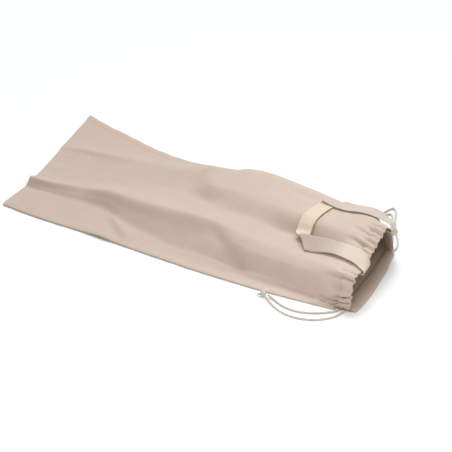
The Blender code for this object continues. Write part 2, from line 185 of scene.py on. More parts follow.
def grid_faces(rows, columns, closed=False, start=0):
    """Quads between rows of vertices. Closed joins the last column to the first."""
    faces = []
    for r in range(rows - 1):
        for c in range(columns if closed else columns - 1):
            a, b = start + r * columns + c, start + r * columns + (c + 1) % columns
            faces.append((a, b, b + columns, a + columns))
    return faces


def face_out(piece):
    """Turns all faces of a closed mesh to the outside."""
    mesh = bmesh.new()
    mesh.from_mesh(piece.data)
    bmesh.ops.recalc_face_normals(mesh, faces=mesh.faces[:])
    mesh.to_mesh(piece.data)
    mesh.free()
    return piece


def unit(vectors):
    """Vectors, along the last axis, at length 1."""
    return vectors / np.linalg.norm(vectors, axis=-1, keepdims=True)


def carrier(path):
    """Along a path: its tangents and two directions square to them that never twist."""
    tangent = unit(np.gradient(path, axis=0))
    side = np.cross(tangent[0], (0, 0, 1.0))
    sides = []
    for t in tangent:
        side = unit(side - (side @ t) * t)
        sides.append(side)
    sides = np.array(sides)
    return tangent, sides, np.cross(tangent, sides)


# %% [markdown]
# ## The cords
#
# A drawcord is a three-strand twist of cotton, 3.5 mm thick and quite limp. It comes straight out of the hem,
# drops to the table and lies there in a loose curve to its knot. Each route below is a handful of places; a
# smooth curve runs through them. A bevelled curve would give a plain pipe, so the strands are made in the
# mesh: the section has three lobes, and it turns as it goes along.

# %% Cord routes and their twisted tubes
CORD_DIAMETER = 3.5
STRANDS, STRAND_PITCH, LOBE = 3, 11.0, 0.17
CORD_RING, CORD_STEP = 21, 0.8
PATH_STEP = 7.0

CORDS = {
    "near_cord_a": ((659.5, -10.9, 2.2), (660.5, -19, 2.0), (653, -39, 1.8), (632, -59, 1.8), (604, -69, 1.8),
                    (577, -68, 1.8), (553, -59, 1.8), (537, -48.5, 2.4), (524.9, -39.3, 4.7)),
    "near_cord_b": ((650.5, -12.8, 2.2), (648, -21, 2.0), (640, -29, 1.8), (624, -40, 1.8), (604, -49, 1.8),
                    (582, -52, 1.8), (560, -48, 1.8), (540, -39, 2.4), (526.1, -34.3, 4.6)),
    "far_cord_a": ((646.0, 185.2, 2.2), (647, 198, 2.0), (640, 216, 1.8), (625, 238, 1.8), (609, 263, 1.8),
                   (598, 286, 1.8), (591, 298, 1.8), (584, 302.5, 1.8), (579, 294, 1.8), (576, 284, 1.8),
                   (570, 276.5, 1.8), (561, 271, 1.8), (549, 267.6, 2.4), (534.6, 265.1, 4.7)),
    "far_cord_b": ((637.5, 188.9, 2.2), (637, 200, 2.0), (629, 217, 1.8), (616, 239, 1.8), (602, 263, 1.8),
                   (595, 279, 1.8), (589, 285, 1.8), (582, 279.5, 1.8), (571, 270, 1.8), (560, 264.5, 1.8),
                   (549, 261.8, 2.4), (534.6, 261.1, 4.7)),
}


def smooth_route(points, step):
    """Evenly spaced points on the rounded curve through a few places."""
    points = np.array(points, float)
    padded = np.vstack([2 * points[0] - points[1], points, 2 * points[-1] - points[-2]])
    fine = []
    for i in range(len(points) - 1):
        a, b, c, d = padded[i : i + 4]
        for u in np.linspace(0, 1, 24, endpoint=False):
            bend = u * ((2 * a - 5 * b + 4 * c - d) + u * (3 * b - 3 * c + d - a))
            fine.append(b + 0.5 * u * ((c - a) + bend))
    fine = np.array([*fine, points[-1]])
    along = flow_length(fine)
    even = np.linspace(0, along[-1], max(3, round(along[-1] / step)) + 1)
    return np.stack([np.interp(even, along, fine[:, k]) for k in range(3)], axis=1)


def tube_faces(rows, ring):
    """Faces of a tube of rings of vertices, with both its ends."""
    ends = [tuple(range(ring))[::-1], tuple(range((rows - 1) * ring, rows * ring))]
    return grid_faces(rows, ring, closed=True) + ends


def twisted_tube(route, diameter, strands=STRANDS, pitch=STRAND_PITCH, round_ends=True, phase=0.0):
    """Points, faces and flat places of a cord whose strands wind round it."""
    along = flow_length(route)
    tangent, side, other = carrier(route)
    turn = np.linspace(0, 2 * math.pi, CORD_RING, endpoint=False)
    points, flat = [], []
    for i, place in enumerate(route):
        twist = 2 * math.pi * along[i] / pitch + phase
        lobes = np.abs(np.cos(strands / 2 * (turn - twist)))
        radius = diameter / 2 * (1 - LOBE + LOBE * 1.25 * lobes)
        if round_ends:
            to_end = min(along[i], along[-1] - along[i]) / (diameter / 2)
            radius = radius * math.sqrt(max(0.02, 1 - (1 - min(1.0, to_end)) ** 2))
        ring = np.cos(turn)[:, None] * side[i] + np.sin(turn)[:, None] * other[i]
        points.append(place + radius[:, None] * ring)
        flat += [(diameter * math.pi * k / CORD_RING * MM, along[i] * MM) for k in range(CORD_RING)]
    return np.concatenate(points), tube_faces(len(route), CORD_RING), flat


def joined(parts):
    """Several (points, faces, flat) as one."""
    points, faces, flat = [], [], []
    for part_points, part_faces, part_flat in parts:
        start = len(points)
        points += list(part_points)
        faces += [tuple(start + i for i in face) for face in part_faces]
        flat += list(part_flat)
    return np.array(points), faces, flat


cord_pieces, cord_paths = {}, {}
for name, places in CORDS.items():
    route = smooth_route(places, CORD_STEP)
    cord_pieces[name] = face_out(mesh_piece(name + "_twist", *twisted_tube(route, CORD_DIAMETER)))
    cord_paths[name] = smooth_route(places, PATH_STEP)
    print(name, "length", round(flow_length(cord_paths[name])[-1], 1), "mm,", len(cord_paths[name]), "points")

# %% [markdown]
# ## The knots
#
# Both ends of a drawcord go through one overhand knot, pulled tight. The line of such a knot is a trefoil: it
# goes twice round a ring while it goes three times over and under. A thick tube along a small trefoil closes
# up into the familiar lump. The cut ends stick out behind it, and their strands have opened a little.

# %% Overhand knots with cut ends
KNOTS = {"near_knot": (518.5, -36.2, 178.0), "far_knot": (528.0, 263.0, 190.0)}
KNOT_HEIGHT, KNOT_SIZE, KNOT_THICKNESS = 5.7, 1.45, 3.9
KNOT_STRETCH = (1.1, 0.8, 1.1)  # along its heading, across it and up
CUT_ENDS = ((-22.0, 8.5), (18.0, 10.0))  # angle from the knot's heading, reach from its middle
CUT_END_DROP = 3.4
FRAY_THREADS, FRAY_LENGTH, FRAY_WIDTH, FRAY_SWING = 9, 3.0, 2.0, 64


def heading(degrees):
    """A level unit vector, turned by degrees from x."""
    turn = math.radians(degrees)
    return np.array([math.cos(turn), math.sin(turn), 0.0])


def trefoil(steps=150):
    """x, y and z along a trefoil's line, wide and flat, in units of its ring."""
    t = np.linspace(0, 2 * math.pi, steps)[:, None]
    return np.sin(t) + 2 * np.sin(2 * t), np.cos(t) - 2 * np.cos(2 * t), -1.25 * np.sin(3 * t)


def knot_parts(x, y, towards):
    """The lump and its two cut ends, as tubes in bag millimetres."""
    forward = heading(towards)
    beside = np.array([-forward[1], forward[0], 0])
    middle = np.array([x, y, KNOT_HEIGHT])
    long, wide, high = KNOT_STRETCH
    along, aside, above = (KNOT_SIZE * part for part in trefoil())
    loop = middle + along * forward * long + aside * beside * wide + above * np.array([0, 0, high])
    parts = [twisted_tube(loop, KNOT_THICKNESS, round_ends=False)]
    for number, (spread, reach) in enumerate(CUT_ENDS):
        way = heading(towards + spread)
        end = middle + way * reach + (0, 0, -CUT_END_DROP)
        tail = smooth_route([middle + way * 2, middle + way * reach * 0.6 + (0, 0, -1.2), end], 0.6)
        parts.append(twisted_tube(tail, CORD_DIAMETER * 0.95, phase=number))
        for thread in range(FRAY_THREADS):
            share = thread / (FRAY_THREADS - 1) - 0.5
            out = heading(towards + spread + FRAY_SWING * share + 9 * math.sin(7 * thread + number))
            lift = 1.2 * math.sin(2.4 * thread + number)
            start = end - way * 1.5 + np.array([-way[1], way[0], 0]) * share * FRAY_WIDTH
            tip = start + out * FRAY_LENGTH * (0.8 + 0.2 * math.cos(5 * thread))
            tip[2] = max(0.9, end[2] + lift - 0.7)
            strand = smooth_route([start, (start + tip) / 2 + (0, 0, 0.4), tip], 0.9)
            parts.append(twisted_tube(strand, 0.85, strands=2, pitch=3))
    return parts


knot_pieces = {}
for name, place in KNOTS.items():
    knot_pieces[name] = mesh_piece(name + "_tied", *joined(knot_parts(*place)))
    print(name, "faces", len(knot_pieces[name].data.polygons))
cords_and_knots = {**cord_pieces, **knot_pieces}

# %% [markdown]
# ## The bag's form
#
# Seventeen sections across the bag say how its top sheet lies: where the near edge is, the foot and crest of
# the near side, the valley, and the shoulder, crest and foot of the far side. They are close to the solid's
# numbers, within 10 mm. The floor sheet lies flat below, and both sheets draw back towards the gathered rim.

# %% Sections of the filled bag
BAG_LENGTH, HEM_DEPTH = 672.0, 26.0
HEM_START = BAG_LENGTH - HEM_DEPTH
CLOTH = 0.75  # thickness of one layer
FLAT_WIDTH = 310.0

SECTIONS = np.array((
    # x, near edge y, then y and z of near foot, near crest, valley, shoulder, far crest, far foot, far edge
    (0, -1, 62, 2.8, 78, 11, 104, 3.5, 150, 3.2, 200, 3.2, 240, 2.8, 305, 2.1),
    (40, -6, 60, 3, 79, 10.5, 108, 4.5, 155, 5, 199, 6.5, 238, 4, 292, 2.1),
    (95, -9, 62, 3, 88, 14, 128, 6.5, 166, 8, 201, 9.5, 236, 5.5, 279, 2.1),
    (150, -10, 62, 3, 90, 20.5, 138, 10.5, 173, 12, 205, 13.5, 236, 6.5, 266, 2.1),
    (205, -13, 38, 3, 80, 26, 144, 14, 177, 14, 211, 18, 240, 9, 261, 2.5),
    (255, -16, 30, 3.2, 79, 28, 147, 17, 181, 18.5, 221, 25, 247, 17.5, 261, 5),
    (280, -18, 24, 3.4, 78, 30, 140, 22, 179, 29, 222, 33, 248, 20.5, 260, 7),
    (300, -19, 20, 3.6, 77, 32, 135, 25.5, 175, 33.5, 221, 35.5, 248, 22.5, 258, 9),
    (320, -20, 18, 4.2, 75, 35, 130, 29, 171, 39.5, 219, 40, 246, 26.5, 256, 12),
    (340, -21, 16, 5.2, 73, 38, 123, 33, 167, 46, 216, 47, 244, 36.5, 253, 16),
    (380, -23, 14, 7.5, 66, 43, 109, 41, 153, 57, 209, 57, 240, 42, 246, 19),
    (430, -24, 9, 9, 55, 46, 99, 45.5, 142, 62, 203, 61.5, 236, 43, 242, 19),
    (490, -24, 6, 10, 51, 44, 97, 45, 134, 64.5, 194, 64.5, 227, 44.5, 233, 19),
    (550, -22, 3, 11, 45, 45.5, 91, 46, 126, 65.5, 182, 65, 215, 44.5, 221, 17),
    (610, -17, -2, 13, 31, 53.5, 75, 52.5, 113, 68, 161, 74, 200, 47, 204, 10),
    (645, -12, -5, 20, 20, 61, 58, 58, 100, 70, 147, 77, 181, 48, 190, 2.1),
    (672, -7, -4, 27, 14, 60, 47, 61, 90, 70, 139, 76, 173, 48, 182, 2.1),
), float)
ACROSS = (0.0, 0.05, 0.17, 0.23, 0.29, 0.44, 0.56, 0.70, 0.86, 1.0)
TOP_RIM_DRAWN = (6, 4, 1, 0.4, 0, 2, 6, 13, 20, 22)
FLOOR_RIM_DRAWN = (-7, -8, -8, -7, -6, -2, 2, 6, 14, 20)
RIM_DRAWN_FROM = 540.0
CLOSED_END_Y = (-10, 0, 50, 82, 108, 150, 200, 250, 305)
CLOSED_END_DRAWN = (0, 0, 5.5, 8.5, 8.5, 7.5, 5.0, 2.5, 0)
RAISED_END_LENGTH = 120.0
FLOOR_LAYER, LAYER_PITCH = 0.5, 1.6
SEAM_HEIGHT = FLOOR_LAYER + LAYER_PITCH
FLANGE_WIDTH, FLANGE_RISE = 16.0, 0.8
ROUND_FROM, ROUND_TO = 330.0, 430.0  # the near side turns round, from a straight slope, between these
ROUND_Y, STRAIGHT_Z, ROUND_Z = 0.51, 0.5, 0.76


def section(x, across):
    """(y, z) of the top sheet's section at x, read at the places across."""
    row = flow(SECTIONS[:, 0], SECTIONS[:, 1:], [x])[0]
    flange = row[0] + min(FLANGE_WIDTH, 0.6 * (row[1] - row[0]))
    height = STRAIGHT_Z + (ROUND_Z - STRAIGHT_Z) * ease(x, ROUND_FROM, ROUND_TO)
    round_y = row[1] + ROUND_Y * (row[3] - row[1])
    round_z = row[2] + height * (row[4] - row[2])
    y = np.array([row[0], flange, row[1], round_y, *row[[3, 5, 7, 9, 11, 13]]])
    z = np.array([SEAM_HEIGHT, SEAM_HEIGHT + FLANGE_RISE, row[2], round_z, *row[[4, 6, 8, 10, 12, 14]]])
    return flow(ACROSS, np.stack([y, z], axis=1), across).T


def rim_share(x):
    """How much of the rim's own line a section at x already has."""
    return np.clip((x - RIM_DRAWN_FROM) / (BAG_LENGTH - RIM_DRAWN_FROM), 0, 1) ** 2


print("sections:", len(SECTIONS), "from the closed end to", SECTIONS[-1, 0], "mm")

# %% [markdown]
# ## Folds
#
# Cotton that has been folded away and then filled keeps soft ridges and sharper creases. Each one is a line
# on the cloth with a height at every place, and a width on its near and on its far side: a narrow side makes
# a crease, a wide side makes a slope. A negative height makes a trough. A cloth simulation would find
# folds in other places, so these are drawn one by one.

# %% Folds and creases
# name: how sharp the top is, then places (x, y, height, width on the near side, width on the far side)
CREASES = {
    "near edge pleat": (1.3, (174, 56, 0, 7, 12), (191, 40, 4.5, 5, 12), (209, 23, 7, 5, 12),
        (227, 7, 5.5, 5, 10), (238, -8, 0, 5, 8)),
    "dip beside the pleat": (2, (196, 16, 0, 6, 6), (211, 4, -2, 6, 6), (226, -5, 0, 5, 5)),
    "end of the near filling": (1.7, (354, 68, 0, 12, 8), (376, 53, -4.5, 14, 6), (392, 42, -7, 15, 6),
        (426, 23, -7.5, 14, 6), (450, 10, -5, 12, 6), (470, 0, 0, 10, 7)),
    "end of the far filling": (2, (236, 244, 0, 14, 12), (256, 222, -2.2, 20, 14), (268, 187, -5, 22, 16),
        (284, 160, -5, 20, 12), (313, 137, -3, 14, 10), (337, 125, 0, 12, 10)),
    "start of the far filling": (1.6, (286, 207, 0, 10, 14), (303, 180, 3, 9, 16), (323, 162, 3.5, 9, 16),
        (346, 153, 2, 10, 16), (371, 149, 0, 10, 16)),
    "raised fold, its sharp top": (1.4, (-8, 79, 3, 5, 10), (20, 79, 3.6, 5, 14), (50, 81, 3.4, 5, 18),
        (80, 86, 2.4, 6, 20), (104, 91, 0, 8, 20)),
    "dip under the raised fold": (2, (0, 64, -1, 8, 8), (40, 68, -1.8, 8, 8), (80, 70, 0, 9, 9)),
    "second step of the fold": (1.6, (98, 92, 0, 7, 16), (118, 90, 2.6, 10, 20), (150, 88, 4.4, 15, 24),
        (190, 81, 5.4, 19, 26), (230, 77, 6, 20, 26), (270, 75, 6.5, 18, 24), (310, 73, 6.5, 17, 22),
        (350, 69, 5, 14, 20), (390, 62, 2.5, 12, 20), (420, 55, 0, 10, 20)),
    "far soft ridge": (1.4, (-6, 196, 0.8, 7, 16), (30, 198, 2.6, 5, 18), (66, 201, 3, 5, 18),
        (104, 203, 2.2, 7, 20), (150, 208, 1, 10, 20), (210, 220, 0, 12, 20)),
    "small crease at the closed end": (1.4, (2, 136, 0, 4, 7), (20, 135, 1.4, 4, 7), (42, 136, 0, 5, 8)),
    "flat crease at the far side": (1.6, (170, 156, 0, 14, 14), (210, 160, -2, 16, 16),
        (245, 164, -3, 16, 18), (275, 159, -3, 15, 16), (299, 148, -2, 14, 15), (317, 141, 0, 12, 14)),
    "valley's tight line": (1.6, (442, 106, 0, 10, 12), (460, 101, -2, 14, 12), (476, 98, -3.8, 17, 12),
        (490, 101, -5.2, 18, 11), (504, 103, -6, 18, 10), (520, 102, -5.5, 18, 10), (542, 99, -3, 15, 10),
        (568, 95, 0, 12, 12)),
    "streak beyond the tape": (1.4, (456, 193, 0, 7, 5), (474, 185, -2.2, 8, 5), (496, 181, -2, 8, 5),
        (518, 179, 0, 7, 5)),
    "crease before the near hem": (1.5, (596, -22, 0, 5, 6), (604, -14, 2, 5, 6), (612, -4, 1.6, 5, 6),
        (618, 6, 0, 5, 6)),
    "long slack over the near side": (2, (470, 36, 0, 10, 12), (520, 30, 1.2, 10, 12),
        (570, 22, 1.2, 10, 12), (612, 13, 0, 10, 12)),
    "slack of the far side": (2, (400, 232, 0, 12, 12), (460, 222, -3, 14, 12), (530, 211, -3, 14, 12),
        (590, 193, 0, 12, 12)),
}
CREASE_STEPS = 14  # between two places of a crease
UNDULATIONS = ((1.5, 136, 85, 3.7), (0.4, 48, 24, 9.1))  # height, lengths along x and y, slice of the noise


def crease_relief(x, y):
    """Height that all creases add at plan places x, y."""
    place = np.stack([x, y], axis=-1).reshape(-1, 2)
    total = np.zeros(len(place))
    for sharpness, *places in CREASES.values():
        count = len(places)
        line = flow(np.arange(count), places, np.linspace(0, count - 1, CREASE_STEPS * (count - 1) + 1))
        way = unit(np.gradient(line[:, :2], axis=0))
        apart = place[:, None, :] - line[None, :, :2]
        nearest = (apart**2).sum(axis=2).argmin(axis=1)
        off = apart[np.arange(len(place)), nearest]
        beside = way[nearest, 0] * off[:, 1] - way[nearest, 1] * off[:, 0]
        past = np.abs(way[nearest, 0] * off[:, 0] + way[nearest, 1] * off[:, 1])
        width = np.where(beside < 0, line[nearest, 3], line[nearest, 4])
        form = np.exp(-((np.sqrt(beside**2 + 1.0) - 1.0) / width) ** sharpness - (past / (2 * width)) ** 2)
        total += line[nearest, 2] * form
    return total.reshape(x.shape)


def undulation(x, y):
    """Low, wide unevenness of cloth that is not stretched, the same on each run."""
    flat = np.stack([x, y], axis=-1).reshape(-1, 2)
    total = np.zeros(len(flat))
    for height, long, short, level in UNDULATIONS:
        total += height * np.array([noise.noise(Vector((a / long, b / short, level))) for a, b in flat])
    return total.reshape(x.shape)


print("creases:", len(CREASES))

# %% [markdown]
# ## Gathers
#
# Where the cord draws the hem together, the cloth stands in narrow pleats. Real gathers are never even: each
# valley here has its own place, depth, width and length into the bag, taken from a short table where they
# show and from a fixed pattern elsewhere. The whole hem stands out a little, and the stitch line is pinched
# in. The tape keeps the hem flat at its two sewn ends.

# %% Gathers of the drawn hem
# place across the sheet, depth, width, how far they run into the bag from the stitch line, sideways drift
TOP_GATHERS = (
    (0.034, 5.2, 0.009, 22, 0.004), (0.068, 6.8, 0.010, 44, -0.010), (0.101, 3.4, 0.008, 18, 0.006),
    (0.131, 7, 0.011, 52, 0.012), (0.170, 9, 0.009, 26, -0.006), (0.199, 6, 0.008, 36, 0.010),
    (0.236, 8.5, 0.010, 58, -0.010), (0.284, 7.4, 0.010, 24, 0.006), (0.505, 3.4, 0.010, 30, 0.004),
    (0.534, 6.2, 0.009, 54, -0.008), (0.569, 7.4, 0.010, 34, 0.010), (0.602, 4.4, 0.008, 62, -0.006),
    (0.638, 8.4, 0.011, 32, 0.010), (0.677, 6, 0.009, 48, -0.008), (0.840, 3, 0.011, 26, 0.006),
    (0.872, 5.2, 0.010, 40, -0.006), (0.908, 5.6, 0.010, 32, 0.006), (0.944, 4, 0.011, 26, 0),
)
FLOOR_GATHERS = []
for k in range(20):
    place, depth = 0.05 + 0.047 * k + 0.006 * math.sin(5.3 * k), 2.0 + 0.8 * math.sin(3.1 * k)
    FLOOR_GATHERS.append((place, depth, 0.013, 36 + 14 * math.sin(2.3 * k), 0.0))
FLAT_SEATS = ((41.0, 26.0), (166.0, 24.0))  # y of the middle and half the width
PUFF, PUFF_REACH = 6.5, 50.0  # how far the drawn hem stands out, and how far into the bag
PINCH, PINCH_BEFORE, PINCH_AFTER = 4.2, 15.0, 5.0  # dip along the stitch line, and its reach each way


def gather_relief(x, y, across, gathers):
    """How far the gathers push the cloth out, and in at their valleys."""
    total = np.zeros(x.shape)
    for place, depth, width, reach, drift in gathers:
        into = np.clip((HEM_START - x) / reach, 0, 1)
        valley = np.exp(-np.abs((across - place - drift * into) / (width * (1 + 1.2 * into))) ** 1.7)
        total -= depth * valley * (1 - ease(into, 0.05, 1.0))
    total += PUFF * (1 - ease((HEM_START - x) / PUFF_REACH, 0.05, 1.0))
    reach = np.where(x < HEM_START, PINCH_BEFORE, PINCH_AFTER)
    uneven_pinch = 1 + 0.35 * np.sin(61 * across + 1.7) + 0.25 * np.sin(97 * across)
    total -= PINCH * uneven_pinch * np.exp(-np.abs((x - HEM_START) / reach) ** 1.6)
    free = ease(across, 0.0, 0.03) * (1 - ease(across, 0.97, 1.0))
    for middle, half in FLAT_SEATS:
        free = free * (1 - np.exp(-(((y - middle) / half) ** 4)))
    return total * free


print("gathers:", len(TOP_GATHERS), "above and", len(FLOOR_GATHERS), "below")

# %% [markdown]
# ## Two sheets and their hem
#
# The cloth is cut twice as long as the bag, folded at the closed end and sewn up both sides. At the mouth
# each sheet turns in and is stitched down, which leaves a tunnel for the cord. Rows of points follow the
# cloth from the closed end, round the rim and back to the stitch line, so the hem is real cloth, and open at
# its ends.

# %% Rows of the top sheet and of the floor sheet
COLUMNS = 150
BODY_ROWS, HEM_ROWS = 98, 42
FINE_FROM = 588.0
TUNNEL_HEIGHT, TUNNEL_AT_ENDS = 2.6, 3.9
SEAM_ALLOWANCE, SEAM_STEP_REACH = 11.0, 1.5
NEAR_SEAM_STEP, FAR_SEAM_STEP = 0.6, 1.1
PUCKER = 0.35
LIFTED_EDGE_X, LIFTED_EDGE_WIDTH, LIFTED_EDGE = 190.0, 26.0, 3.2


def normals_of(points, facing):
    """Unit normals of a grid of points. They point up where facing is 1, and down where it is -1."""
    normal = unit(np.cross(np.gradient(points, axis=0), np.gradient(points, axis=1)))
    return normal * (facing * np.sign(normal[:, :, 2:].mean()))


# x of each row: close together at the closed end, in the gathers and in the hem
u = np.arange(BODY_ROWS) / BODY_ROWS
body = FINE_FROM * (0.75 * u + 0.25 * (1 - np.cos(math.pi * u)) / 2)
xs = np.concatenate([body, np.linspace(FINE_FROM, BAG_LENGTH, HEM_ROWS + 1)])
across = np.arange(COLUMNS + 1) / COLUMNS
top_drawn = flow(ACROSS, TOP_RIM_DRAWN, across)[:, 0]
floor_drawn = flow(ACROSS, FLOOR_RIM_DRAWN, across)[:, 0]
top, floor = [], []
for x in xs:
    y, z = section(x, across)
    mouth = rim_share(x)
    y_held = np.clip(y, CLOSED_END_Y[0], CLOSED_END_Y[-1])
    drawn_in = flow(CLOSED_END_Y, CLOSED_END_DRAWN, y_held)[:, 0] * (1 - ease(x, 0, 2 * RAISED_END_LENGTH))
    top.append(np.stack([x + drawn_in - top_drawn * mouth, y, z], axis=1))
    lifted = 1 - ease(x, 0, RAISED_END_LENGTH)
    y_even = y[0] + (y[-1] - y[0]) * across
    y_floor = y_even + (y - y_even) * lifted
    far_rise = (z[-1] - SEAM_HEIGHT) * ease(across, 0.8, 1.0) ** 1.5
    z_floor = FLOOR_LAYER + (z - SEAM_HEIGHT) * lifted + far_rise * (1 - lifted)
    floor.append(np.stack([x + drawn_in - floor_drawn * mouth, y_floor, z_floor], axis=1))
top, floor = np.array(top), np.array(floor)

X, A = np.meshgrid(xs, across, indexing="ij")
closed_share = 1 - ease(X, 0, RAISED_END_LENGTH)
edge_free = ease(A, 0.0, 0.05) * (1 - ease(A, 0.95, 1.0))
relief = crease_relief(top[:, :, 0], top[:, :, 1])
waves = undulation(top[:, :, 0], top[:, :, 1]) * edge_free * ease(X, 0, 40)
from_edge = np.minimum(top[:, :, 1] - top[:, :1, 1], top[:, -1:, 1] - top[:, :, 1])
on_seam = 1 - ease(from_edge, SEAM_ALLOWANCE - SEAM_STEP_REACH, SEAM_ALLOWANCE + SEAM_STEP_REACH)
flange = np.where(A < 0.5, NEAR_SEAM_STEP, FAR_SEAM_STEP) * on_seam * (1 - ease(X, 560, 600))
pucker = PUCKER * np.sin(X / 5.1 + 1.3 * np.sin(X / 23.0)) * np.exp(-from_edge / 7.0)
pucker = pucker * (1 - ease(X, 600, 640))
top[:, :, 2] += relief + waves + flange + pucker
floor[:, :, 2] += (relief + waves) * closed_share * ease(A, 0, 0.02) * (1 - ease(A, 0.98, 1.0))

out_top = normals_of(top, 1)
push = gather_relief(X, top[:, :, 1], A, TOP_GATHERS)
top += out_top * push[:, :, None]
floor_push = np.maximum(0, -gather_relief(X, floor[:, :, 1], A, FLOOR_GATHERS))
floor[:, :, 2] += floor_push * ease(A, 0.0, 0.06) * (1 - ease(A, 0.94, 1.0))
lift = LIFTED_EDGE * np.exp(-(((X - LIFTED_EDGE_X) / LIFTED_EDGE_WIDTH) ** 2)) * (1 - ease(A, 0.0, 0.12))
top[:, :, 2] += lift
floor[:, :, 2] += lift
print("rows", len(xs), "columns", len(across), "highest", round(top[:, :, 2].max(), 1), "mm")

# %% [markdown]
# The hem comes next. The tunnel swells where the cord lies in it, the stitch line pulls both layers together,
# and past the side seams the two hems part, so the cord ends can come out between their layers.

# %% The turned hem
HALF_ROUND = (math.pi / 4, math.pi / 2, 3 * math.pi / 4)
HEMS_PARTED = 6.5
HEM_SWELL = 0.30  # the share of the tunnel's height that its outer layer is pushed out
STITCH_DIP, STITCH_DIP_REACH = 0.55, 1.8
RIM_RUN = 0.6  # cloth from row to row round the rim

in_hem = np.clip((X - HEM_START) / HEM_DEPTH, 0, 1)
swell = np.sin(math.pi * in_hem) ** 0.8
to_end = np.minimum(A, 1 - A)
height = TUNNEL_HEIGHT + (TUNNEL_AT_ENDS - TUNNEL_HEIGHT) * (1 - ease(to_end, 0, 0.06))
tunnel = LAYER_PITCH * 0.7 + height * swell
stitch_dip = STITCH_DIP * np.exp(-(((X - HEM_START) / STITCH_DIP_REACH) ** 2))

floor[:, :, 2] = np.maximum(floor[:, :, 2], CLOTH / 2 + 0.05)
parted = ease(X, HEM_START - 2, BAG_LENGTH) * (1 - ease(to_end, 0, 0.05))
top[:, :, 2] += HEMS_PARTED * parted
clear = np.where(X >= HEM_START - 2, LAYER_PITCH * 0.6 + 2 * tunnel * (X > HEM_START), LAYER_PITCH)
lowest = np.maximum(SEAM_HEIGHT, floor[:, :, 2] + clear * (0.4 + 0.6 * ease(to_end, 0, 0.05)))
top[:, :, 2] = np.maximum(top[:, :, 2], lowest)
top[:, :, 2] = np.maximum(top[:, :, 2], floor[:, :, 2] + LAYER_PITCH)

out_top = normals_of(top, 1)
top_outer = top + out_top * (HEM_SWELL * tunnel * swell - stitch_dip)[:, :, None]
top_inner = top_outer - out_top * tunnel[:, :, None]
out_floor = normals_of(floor, -1)
floor_inner = floor - out_floor * tunnel[:, :, None]

hem_rows = np.flatnonzero(xs > HEM_START - 0.5)


def turned_sheet(outer, inner):
    """Rows of a sheet with its hem: out to the rim, round it, and back inside to the stitch line."""
    last_out, last_in = outer[-1], inner[-1]
    ahead = unit(outer[-1] - outer[-2])
    middle, half = (last_out + last_in) / 2, (last_out - last_in) / 2
    size = np.linalg.norm(half, axis=1)[:, None]
    bend = [middle + math.cos(turn) * half + math.sin(turn) * size * ahead for turn in HALF_ROUND]
    return np.concatenate([outer, np.array(bend), inner[hem_rows][::-1]])


top_sheet = turned_sheet(top_outer, top_inner)
floor_sheet = turned_sheet(floor, floor_inner)
round_rim = BAG_LENGTH + np.array([RIM_RUN, 2 * RIM_RUN, 3 * RIM_RUN])
cloth_run = np.concatenate([xs, round_rim, 2 * BAG_LENGTH + 4 * RIM_RUN - xs[hem_rows][::-1]])
seam_rows = int(np.searchsorted(xs, HEM_START))
print("rows with the hem:", len(top_sheet), "seam rows:", seam_rows)

# %% [markdown]
# Now the two sheets become one mesh. Half-round strips join them along the closed end and along both sides,
# because turned seams are round, not sharp. Solidify then gives the cotton its thickness on both faces.

# %% One cloth from two sheets
rows, columns = top_sheet.shape[:2]
points = [*top_sheet.reshape(-1, 3), *floor_sheet.reshape(-1, 3)]
flat = [(a * FLAT_WIDTH * MM, x * MM) for x in cloth_run for a in across]
flat += [(a * FLAT_WIDTH * MM, -x * MM) for x in cloth_run for a in across]
faces = grid_faces(rows, columns) + [f[::-1] for f in grid_faces(rows, columns, start=rows * columns)]
top_id = np.arange(rows * columns).reshape(rows, columns)
floor_id = top_id + rows * columns


def thicken(piece, thickness):
    """Gives a sheet its thickness, half on each side."""
    wall = piece.modifiers.new("thickness", "SOLIDIFY")
    wall.thickness = thickness * MM
    wall.offset = 0


def nose(upper, lower, way):
    """Strips of a half round between two lines of vertices. Returns the lines, the upper one first."""
    lines = [list(upper)]
    for turn in HALF_ROUND:
        line = []
        for u, l in zip(upper, lower):
            a, b = np.array(points[u]), np.array(points[l])
            half = (a - b) / 2
            outward = math.sin(turn) * np.linalg.norm(half) * np.array(way)
            points.append((a + b) / 2 + math.cos(turn) * half + outward)
            flat.append(flat[u] if turn <= math.pi / 2 else flat[l])
            line.append(len(points) - 1)
        lines.append(line)
    lines.append(list(lower))
    for one, two in zip(lines, lines[1:]):
        for k in range(len(one) - 1):
            faces.append((one[k], one[k + 1], two[k + 1], two[k]))
    return lines


end_lines = nose(top_id[0], floor_id[0], (-1.0, 0, 0))
for column, way in ((0, (0, -1.0, 0)), (columns - 1, (0, 1.0, 0))):
    side_lines = nose(top_id[:seam_rows, column], floor_id[:seam_rows, column], way)
    at = 0 if column == 0 else -1
    for k in range(len(HALF_ROUND) + 1):
        quad = [end_lines[k][at], end_lines[k + 1][at], side_lines[k + 1][0], side_lines[k][0]]
        faces.append(tuple(dict.fromkeys(quad)))

cloth = face_out(mesh_piece("cotton_cloth", points, faces, flat))
thicken(cloth, CLOTH)
print("cloth:", len(points), "points,", len(faces), "faces")

# %% [markdown]
# ## The handle tape
#
# The handle is one length of 28 mm cotton tape. Both ends are sewn inside the hem; the loop is laid back over
# the bag and turns two corners in folded mitres. Each row below gives the place of the tape's middle, how far
# it lies off the cloth, the way its width points and how much one edge is lifted.

